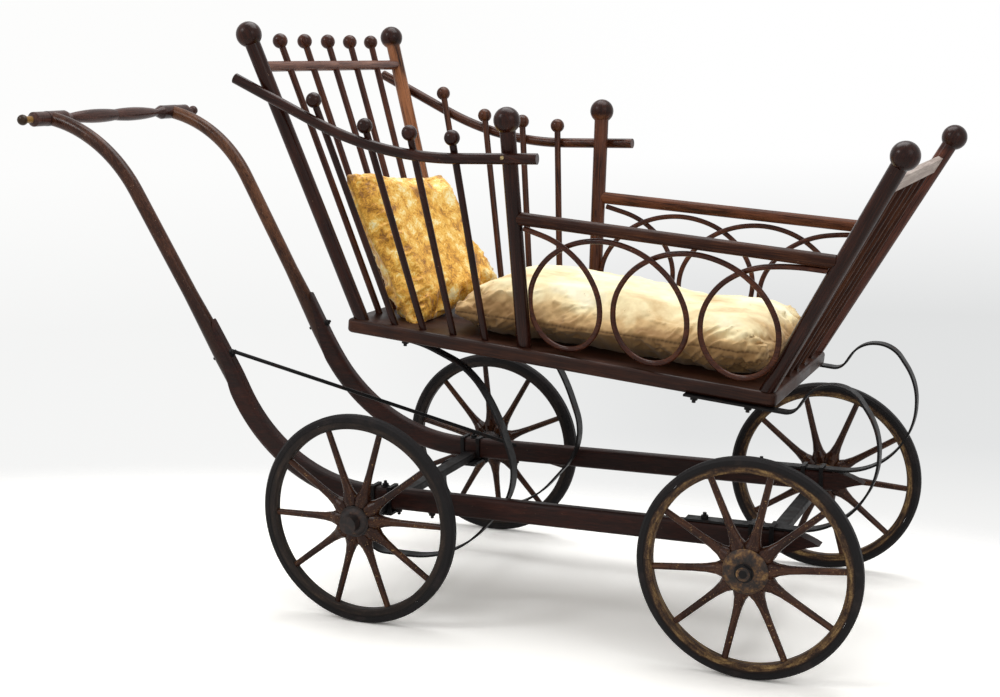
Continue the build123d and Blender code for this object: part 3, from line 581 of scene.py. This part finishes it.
mattressSize = (617 * mm, 332 * mm, 106 * mm)
mattressCreases = {  # folds and top fold: height, run, width, seed; swell: height, reach
    "upright": (0.06, 0.45),  # how far a face has to stand up to fold
    "rim": (0.55, 0.85),
    "sideLean": (0.72, 0.69),  # cosine and sine of the folds' slant
    "endLean": (0.85, 0.50),
    "amount": {"least": 0.15, "patchy": 1.1, "usual": 0.75, "atFoot": 0.4, "footFrom": (-200 * mm, 300 * mm)},
    "folds": ((4.6 * mm, 55 * mm, 17 * mm, 2.3), (2.0 * mm, 35 * mm, 10 * mm, 9.1)),
    "topFold": (1.2 * mm, 120 * mm, 45 * mm, 4.4),
    "patches": 120 * mm,
    "swell": (3.0 * mm, 110 * mm),
    "seamDip": (2.4 * mm, 2.2 * mm),  # depth, reach
    "seamFrom": 0.88,
    "seamLine": 1.5 * mm,
    "stitch": 1.3 * mm,
}


def creaseMattress(at, normal, above, rim):
    look = mattressCreases
    side = softStep(*look["upright"], 1 - abs(normal.z)) * softStep(*look["rim"], rim)
    leant = tipped(at.x, at.y, at.z, look["sideLean"])
    if abs(at.x) > abs(at.y) * mattressSize[0] / mattressSize[1]:  # the two ends
        leant = tipped(at.y, at.x, at.z, look["endLean"])
    patch = noise.noise(Vector((at.x / look["patches"], at.y / look["patches"], 7.7)))
    much = look["amount"]
    amount = patch * much["patchy"] + much["usual"] + much["atFoot"] * softStep(*much["footFrom"], at.x)
    amount = max(much["least"], amount)
    push = side * amount * sum(fold(leant, *row) for row in look["folds"])
    push += swell(at, *look["swell"])
    push += fold(Vector((at.x + 0.4 * at.y, at.y, at.z)), *look["topFold"])
    dip, reach = look["seamDip"]
    push -= dip * nearSeam(above, rim, reach, look["seamFrom"])
    along = at.x if abs(normal.y) > abs(normal.x) else at.y
    stitches = 0.75 + 0.25 * math.sin(along / look["stitch"])
    return push, min(1.0, nearSeam(above, rim, look["seamLine"], look["seamFrom"]) * stitches)


boardStand = Matrix.Translation((rearX, 0, boardZ)) @ Matrix.Rotation(math.atan(boardFall), 4, "Y")
mattressEnds = (125 * mm, 742 * mm)  # along the board from the rear axle
mattressLook = {
    "size": mattressSize,
    "seamAt": (38 * mm, 54 * mm),
    "endPower": (5.0, 10.0),
    "sidePower": 7.0,
    "crownPower": 0.5,
    "edgeShare": 0.42,
    "cornerPull": 0.035,
    "cornerPinch": 0.0,
    "edgeBelly": 0.05,
    "waist": 0.0,
    "lumps": [
        (-1.0, 0.85), (-0.75, 1.0), (-0.45, 1.0), (-0.1, 0.98), (0.15, 0.90),
        (0.4, 0.80), (0.65, 0.82), (0.85, 0.90), (1.0, 0.80),
    ],
    "startShare": 0.88,
    "voxel": 5.5 * mm,
    "pressure": 4.0,
    "spareCloth": 0.05,
    "stiffness": 0.4,
    "cap": 12 * mm,
    "flatFoot": True,
    # painted shade: the mattress is painted darker towards the bottom
    "litShare": lambda alongShare, heightShare: softStep(0.18, 0.96, heightShare),
    "over": 3 * mm,
    "crease": creaseMattress,
    "stand": boardStand @ Matrix.Translation((sum(mattressEnds) / 2, 0, seatGap)),
}
mattress = sewPad("sewn_mattress", mattressLook)
giveFinish(mattress, agedCotton("unbleachedCotton"))
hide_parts("mattress")
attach(mattress, "carriage")
print("mattress sewn:", len(mattress.data.polygons), "faces")

cushionCreases = {  # gathers and slant: height, run, width, seed; swell: height, reach
    "halfWidth": 146 * mm,
    "halfHeight": 150 * mm,
    "lowerHalf": (-80 * mm, 120 * mm),
    "inwards": (0.42, 0.88),  # where the gathers start and are deepest, 1 on the edge
    "deep": (0.55, 0.6),  # depth all round, and more of it in the lower half
    "flatEdge": 0.75,
    "gather": (4.4 * mm, 80 * mm, 20 * mm, 5.2),
    "lowGather": 2.6 * mm,
    "fineGather": (2.4 * mm, 50 * mm, 10 * mm, 8.8),
    "slant": (1.6 * mm, 160 * mm, 35 * mm, 6.6),
    "patches": 70 * mm,
    "swell": (3.0 * mm, 80 * mm),
    "seamRise": (1.2 * mm, 2.6 * mm),  # height, reach
    "seamFrom": 0.86,
    "seamTone": 0.6,
}


def creaseCushion(at, normal, above, rim):
    look = cushionCreases
    sideways, upright = abs(at.x) / look["halfWidth"], abs(at.y) / look["halfHeight"]
    fromSide = max(sideways, upright)
    gathered = Vector((at.y, at.x, at.z)) if sideways > upright else at
    lower = 1 - softStep(*look["lowerHalf"], at.y)
    around, below = look["deep"]
    depth = softStep(*look["inwards"], fromSide) * (around + below * lower)
    depth *= 1 - look["flatEdge"] * softStep(0.9, 1.0, fromSide)
    amount = 0.75 + 0.6 * noise.noise(Vector((at.x / look["patches"], at.y / look["patches"], 1.3)))
    height, run, across, seed = look["gather"]
    gathers = fold(gathered, height + look["lowGather"] * lower, run, across, seed)
    push = depth * amount * (gathers + fold(gathered, *look["fineGather"]))
    slanted = Vector((at.x * 0.5 + at.y * 0.87, at.x * 0.87 - at.y * 0.5, at.z))
    push += (1 - depth) * fold(slanted, *look["slant"])
    push += swell(at, *look["swell"])
    rise, reach = look["seamRise"]
    onSeam = nearSeam(above, rim, reach, look["seamFrom"])
    return push + rise * onSeam, onSeam * look["seamTone"]


cushionTurn = {
    "left": 146 * mm,
    "top": 150 * mm,
    "leftDrop": 36 * mm,
    "rightRise": 8 * mm,
    "leftForward": 34 * mm,
    "leftTopForward": 2 * mm,
    "slumpHigh": (-155 * mm, -20 * mm),
    "slumpWide": (-155 * mm, 50 * mm),
    "slumpBy": (8 * mm, 4 * mm, 14 * mm),  # right, down and back
    "sag": 17 * mm,
    "sagHalf": 155 * mm,
}


def turnCushion(at):  # the left side of the cushion stands lower and further forward
    look = cushionTurn
    left = softStep(-look["left"], look["left"], at.x)
    top = softStep(-look["top"], look["top"], at.y)
    slump = (1 - softStep(*look["slumpHigh"], at.y)) * (1 - softStep(*look["slumpWide"], at.x))  # lower right corner
    sag = max(0.0, 1 - (at.y / look["sagHalf"]) ** 2)  # the middle hangs back towards the spindles
    aside, down, back = look["slumpBy"]
    lifted = look["rightRise"] * (1 - left) * top
    forward = look["leftTopForward"] * left * top
    return Vector((
        at.x - aside * slump,
        at.y - look["leftDrop"] * left * top + lifted - down * slump,
        at.z + forward + look["leftForward"] * left - back * slump - look["sag"] * sag,
    ))


cushionLean = math.radians(28.36)
cushionFoot = 18 * mm  # ahead of the rear axle
cushionStand = (
    Matrix.Translation((rearX + cushionFoot, 0, boardZ - boardFall * cushionFoot + seatGap))
    @ Matrix.Rotation(math.pi / 2 - cushionLean, 4, "Y")
    @ Matrix(((0, -1, 0, 0), (1, 0, 0, 0), (0, 0, 1, 0), (0, 0, 0, 1)))
)
cushionLook = {
    "size": (304 * mm, 310 * mm, 80 * mm),
    "seamAt": (38 * mm, 38 * mm),
    "endPower": (2.6, 2.6),
    "sidePower": 2.6,
    "crownPower": 0.6,
    "edgeShare": 0.42,
    "cornerPull": 0.0,
    "cornerPinch": 0.8,
    "edgeBelly": 0.02,
    "waist": 0.03,
    "lumps": [(-1.0, 1.0), (1.0, 1.0)],
    "startShare": 0.90,
    "voxel": 5.0 * mm,
    "pressure": 4.0,
    "spareCloth": 0.05,
    "stiffness": 0.3,
    "cap": 14 * mm,
    "flatFoot": False,
    # painted shade: the right side of the cushion is painted darker
    "litShare": lambda alongShare, heightShare: softStep(-0.9, 0.1, 2 * alongShare),
    "over": 2 * mm,
    "crease": creaseCushion,
    "turn": turnCushion,
    "stand": cushionStand @ Matrix.Translation((0, 133 * mm, 0)),
}
cushion = sewPad("sewn_back_cushion", cushionLook)
silkRamp = [(0.46, "#8f5f20"), (0.54, "#c88d2c"), (0.61, "#e8ac3b"), (0.69, "#f3cb66"), (0.79, "#fbedb8")]
giveFinish(cushion, figuredSilk("goldFiguredSilk", {"lean": -28.0, "ramp": silkRamp}))
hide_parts("back_cushion")
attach(cushion, "carriage")
print("cushion sewn:", len(cushion.data.polygons), "faces")


def pickFaces(piece, test):  # edit mode with only the faces that pass the test selected
    alone(piece)
    bpy.ops.object.mode_set(mode="EDIT")
    bpy.ops.mesh.select_mode(type="FACE")
    bpy.ops.mesh.select_all(action="DESELECT")
    bpy.ops.object.mode_set(mode="OBJECT")
    for face in piece.data.polygons:
        face.select = test(face)
    bpy.ops.object.mode_set(mode="EDIT")


def copyTo(master, name, at, axis):  # a copy of its own mesh, its Z turned along axis
    piece = master.copy()
    piece.data = master.data.copy()
    piece.name = name
    scene.collection.objects.link(piece)
    turn = Vector(axis).normalized().to_track_quat("Z", "Y").to_matrix().to_4x4()
    piece.data.transform(Matrix.Translation(at) @ turn)
    piece.data.update()
    return piece


def joinPieces(name, pieces):
    alone(pieces[0])
    for piece in pieces:
        piece.select_set(True)
    bpy.ops.object.join()
    bpy.context.object.name = name
    return bpy.context.object


def modelNut(name, look):  # a hexagon nut with its washer and the end of its bolt, standing on the origin
    bpy.ops.object.select_all(action="DESELECT")
    corner = look["across"] / 2 / math.cos(math.pi / 6)
    stages = (  # sides, radius, foot, height, chamfer
        (24, look["washer"], 0.0, look["sheet"], 0.3 * mm),
        (6, corner, look["sheet"], look["high"], look["chamfer"]),
        (16, look["bolt"], look["sheet"] + look["high"], look["stub"], 0.8 * mm),
    )
    parts = []
    for count, radius, foot, tall, chamfer in stages:
        bpy.ops.mesh.primitive_cylinder_add(
            vertices=count, radius=radius, depth=tall, location=(0, 0, foot + tall / 2)
        )
        part = bpy.context.object
        bpy.ops.object.transform_apply(location=True, rotation=True, scale=True)
        pickFaces(part, lambda face: face.normal.z > 0.9)
        bpy.ops.mesh.inset(thickness=chamfer)
        bpy.ops.object.mode_set(mode="OBJECT")
        for vertex in part.data.vertices:  # the rim of the top drops, the inset keeps its height
            if vertex.co.z > foot + tall - 0.01 * mm and vertex.co.xy.length > radius - 0.02 * mm:
                vertex.co.z -= chamfer * 0.7
        parts.append(part)
    nut = joinPieces(name, parts)
    bpy.ops.object.shade_smooth_by_angle(angle=math.radians(35))
    return nut


nutLook = {
    "across": 11 * mm, "high": 5.5 * mm, "washer": 8.5 * mm, "sheet": 1.4 * mm,
    "bolt": 3.2 * mm, "stub": 5 * mm, "chamfer": 0.9 * mm,
}
railOut, scarfOut, scarfAbove = 208 * mm, 190.5 * mm, 300 * mm
armSide = Vector((0.876, 0, 0.482))  # across the handle arm at its joint with the side rail
nutPlaces = [  # place ahead of the rear axle, height, axis
    (31 * mm, 197 * mm, (0, 0, -1)),
    (103 * mm, 197 * mm, (0, 0, -1)),
    (3 * mm, 239 * mm, (0, 0, 1)),
    (-382.5 * mm, 470 * mm, -armSide),
    (-349.5 * mm, 479 * mm, armSide),
]
nut = modelNut("frame_nut", nutLook)
nuts = []
for x, z, axis in nutPlaces:
    out = scarfOut if z > scarfAbove else railOut
    for sign in sides.values():
        nuts.append(copyTo(nut, "frame_nut_copy", (rearX + x, sign * out, z), axis))
bpy.data.objects.remove(nut)
nuts = joinPieces("frame_nuts", nuts)
giveFinish(nuts, iron)
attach(nuts, "carriage")

hubNutLook = {
    "across": 27 * mm, "high": 6.5 * mm, "washer": 17 * mm, "sheet": 1.6 * mm,
    "bolt": 8 * mm, "stub": 0.8 * mm, "chamfer": 2.2 * mm,
}
hubFace = 347.8 * mm - 9 * mm + 0.2 * mm  # the cap's face round its nose
nut = modelNut("hub_nut", hubNutLook)
for word, sign in sides.items():
    piece = copyTo(nut, "front_hub_nut_" + word, (frontX, sign * hubFace, frontAxleZ), (0, sign, 0))
    giveFinish(piece, iron)
    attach(piece, "front_wheel_" + word)
bpy.data.objects.remove(nut)

screwLook = {
    "radius": 3.6 * mm, "tall": 2.0 * mm, "rises": ((1.1 * mm, 0.5 * mm), (1.2 * mm, 0.25 * mm)),  # inset, rise
    "x": 290.5 * mm, "y": 273.1 * mm, "z": 882.5 * mm, "tilt": (0.06, 0.96, 0.27),
}
bpy.ops.object.select_all(action="DESELECT")
bpy.ops.mesh.primitive_cylinder_add(vertices=20, radius=screwLook["radius"], depth=screwLook["tall"])
screw = bpy.context.object
pickFaces(screw, lambda face: face.normal.z > 0.9)
for inset, rise in screwLook["rises"]:
    bpy.ops.mesh.inset(thickness=inset)
    bpy.ops.transform.translate(value=(0, 0, rise))
bpy.ops.object.mode_set(mode="OBJECT")
bpy.ops.object.shade_smooth_by_angle(angle=math.radians(50))
screws = []
for sign in sides.values():
    tiltX, tiltY, tiltZ = screwLook["tilt"]
    place = (rearX + screwLook["x"], sign * screwLook["y"], screwLook["z"])
    screws.append(copyTo(screw, "arm_rail_screw", place, (tiltX, sign * tiltY, tiltZ)))
bpy.data.objects.remove(screw)
screws = joinPieces("arm_rail_screws", screws)
brass, tree = newFinish("wornBrass")  # brass screw heads, dulled brown, bright where they have been turned
tarnish = speckle(tree, objectPlace(tree), 500.0, 3.0)  # 2 mm tarnish
tone = ramped(tree, tarnish, [(0.35, "#4a3a26"), (0.55, "#96835c"), (0.75, "#c9b88c")])
surfaced(tree, {"Metallic": 0.9, "Roughness": 0.42}, {"Base Color": tone})
giveFinish(screws, brass)
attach(screws, "carriage")
print("nuts and screws modelled")

# Studio: an overexposed pale floor that fades out round the carriage, in a white room with a light grey band below
# the horizon, partly painted shadow of the carriage
studio = {
    "reach": 7.0, "below": 0.5 * mm, "centre": (0.2, -0.9), "radii": (2.6, 1.62), "fade": (0.70, 1.05),
    "floorTone": "#f4f4f2", "lift": "#a8a8a7",
}
bpy.ops.object.select_all(action="DESELECT")
bpy.ops.mesh.primitive_plane_add(size=2 * studio["reach"], location=(0, 0, -studio["below"]))
floor = bpy.context.object
floor.name = "studio_floor"
bpy.ops.object.transform_apply(location=True, rotation=True, scale=True)
finish, tree = newFinish("whiteStudioFloor")  # white paper: matt, holds soft shadows
path = addNode(tree, "ShaderNodeLightPath")
paper = addNode(tree, "ShaderNodeBsdfDiffuse", {"Color": linear(studio["floorTone"])})
bright = addNode(tree, "ShaderNodeBsdfDiffuse", {"Color": linear(studio["lift"])})
lifted = addNode(tree, "ShaderNodeAddShader", links={0: paper.outputs[0], 1: bright.outputs[0]})
shown = addNode(
    tree, "ShaderNodeMixShader", links={0: path.outputs["Is Camera Ray"], 1: paper.outputs[0], 2: lifted.outputs[0]}
)
oval = {"Location": (*studio["centre"], 0), "Scale": (*studio["radii"], 1)}
scaled = addNode(tree, "ShaderNodeMapping", oval, {"Vector": objectPlace(tree)}, vector_type="TEXTURE")
away = addNode(tree, "ShaderNodeVectorMath", links={0: scaled.outputs[0]}, operation="LENGTH").outputs["Value"]
near, far = studio["fade"]
gone = addNode(
    tree, "ShaderNodeMapRange", {"From Min": near, "From Max": far}, {"Value": away}, interpolation_type="SMOOTHSTEP"
)
clear = addNode(tree, "ShaderNodeBsdfTransparent")
both = addNode(tree, "ShaderNodeMixShader", links={0: gone.outputs[0], 1: shown.outputs[0], 2: clear.outputs[0]})
addNode(tree, "ShaderNodeOutputMaterial", links={"Surface": both.outputs[0]})
giveFinish(floor, finish)

room = bpy.data.worlds.new("whiteRoom")
room.use_nodes = True
scene.world = room
tree = room.node_tree
tree.nodes.clear()
roomLook = {
    "light": "#fbf8f4", "strength": 0.66,
    # a light grey backdrop band below the horizon, made darker as painted shadow of the carriage on the backdrop
    "greyBandAndShadow": [(0.17, "#ffffff"), (0.215, "#f3f3f2"), (0.26, "#e4e5e5"), (0.34, "#e1e2e2"), (0.44, "#ffffff")],
    "leftTone": "#fcfcfb", "leftFrom": -0.28, "leftTo": -0.48, "leftShare": 0.7,
}
path = addNode(tree, "ShaderNodeLightPath")
plain = addNode(
    tree, "ShaderNodeBackground", {"Color": linear(roomLook["light"]), "Strength": roomLook["strength"]}
)
ahead = addNode(tree, "ShaderNodeTexCoord").outputs["Generated"]
ways = addNode(tree, "ShaderNodeSeparateXYZ", links={0: ahead}).outputs
backdrop = ramped(tree, spread(tree, ways["Z"], -0.5, 0.5), roomLook["greyBandAndShadow"])
washed = spread(tree, ways["X"], roomLook["leftFrom"], roomLook["leftTo"], 0.0, roomLook["leftShare"])
backdrop = overlaid(tree, washed, backdrop, roomLook["leftTone"])
seenRoom = addNode(tree, "ShaderNodeBackground", {"Strength": 1.0}, {"Color": backdrop})
seen = calc(tree, "MAXIMUM", path.outputs["Is Camera Ray"], path.outputs["Is Glossy Ray"])
seen = calc(tree, "MAXIMUM", seen, path.outputs["Is Transmission Ray"])
both = addNode(tree, "ShaderNodeMixShader", links={0: seen, 1: plain.outputs[0], 2: seenRoom.outputs[0]})
addNode(tree, "ShaderNodeOutputWorld", links={"Surface": both.outputs[0]})

lamps = {
    "topSoftbox": {"place": (0.1, 0.5, 3.0), "aim": (0, 0, 0.5), "size": (2.4, 1.6), "watts": 58},
    "nearLeftSoftbox": {"place": (-1.8, -2.2, 2.9), "aim": (0, 0, 0.4), "size": (0.9, 0.9), "watts": 24},
    "nearRightSoftbox": {"place": (2.6, -1.6, 2.2), "aim": (0, 0, 0.5), "size": (1.2, 1.2), "watts": 8},
}
for name, lamp in lamps.items():
    data = bpy.data.lights.new(name, "AREA")
    data.shape = "RECTANGLE"
    data.size, data.size_y = lamp["size"]
    data.energy = lamp["watts"]
    light = bpy.data.objects.new(name, data)
    scene.collection.objects.link(light)
    light.location = lamp["place"]
    light.rotation_euler = (Vector(lamp["aim"]) - Vector(lamp["place"])).to_track_quat("-Z", "Y").to_euler()
print("studio lit")
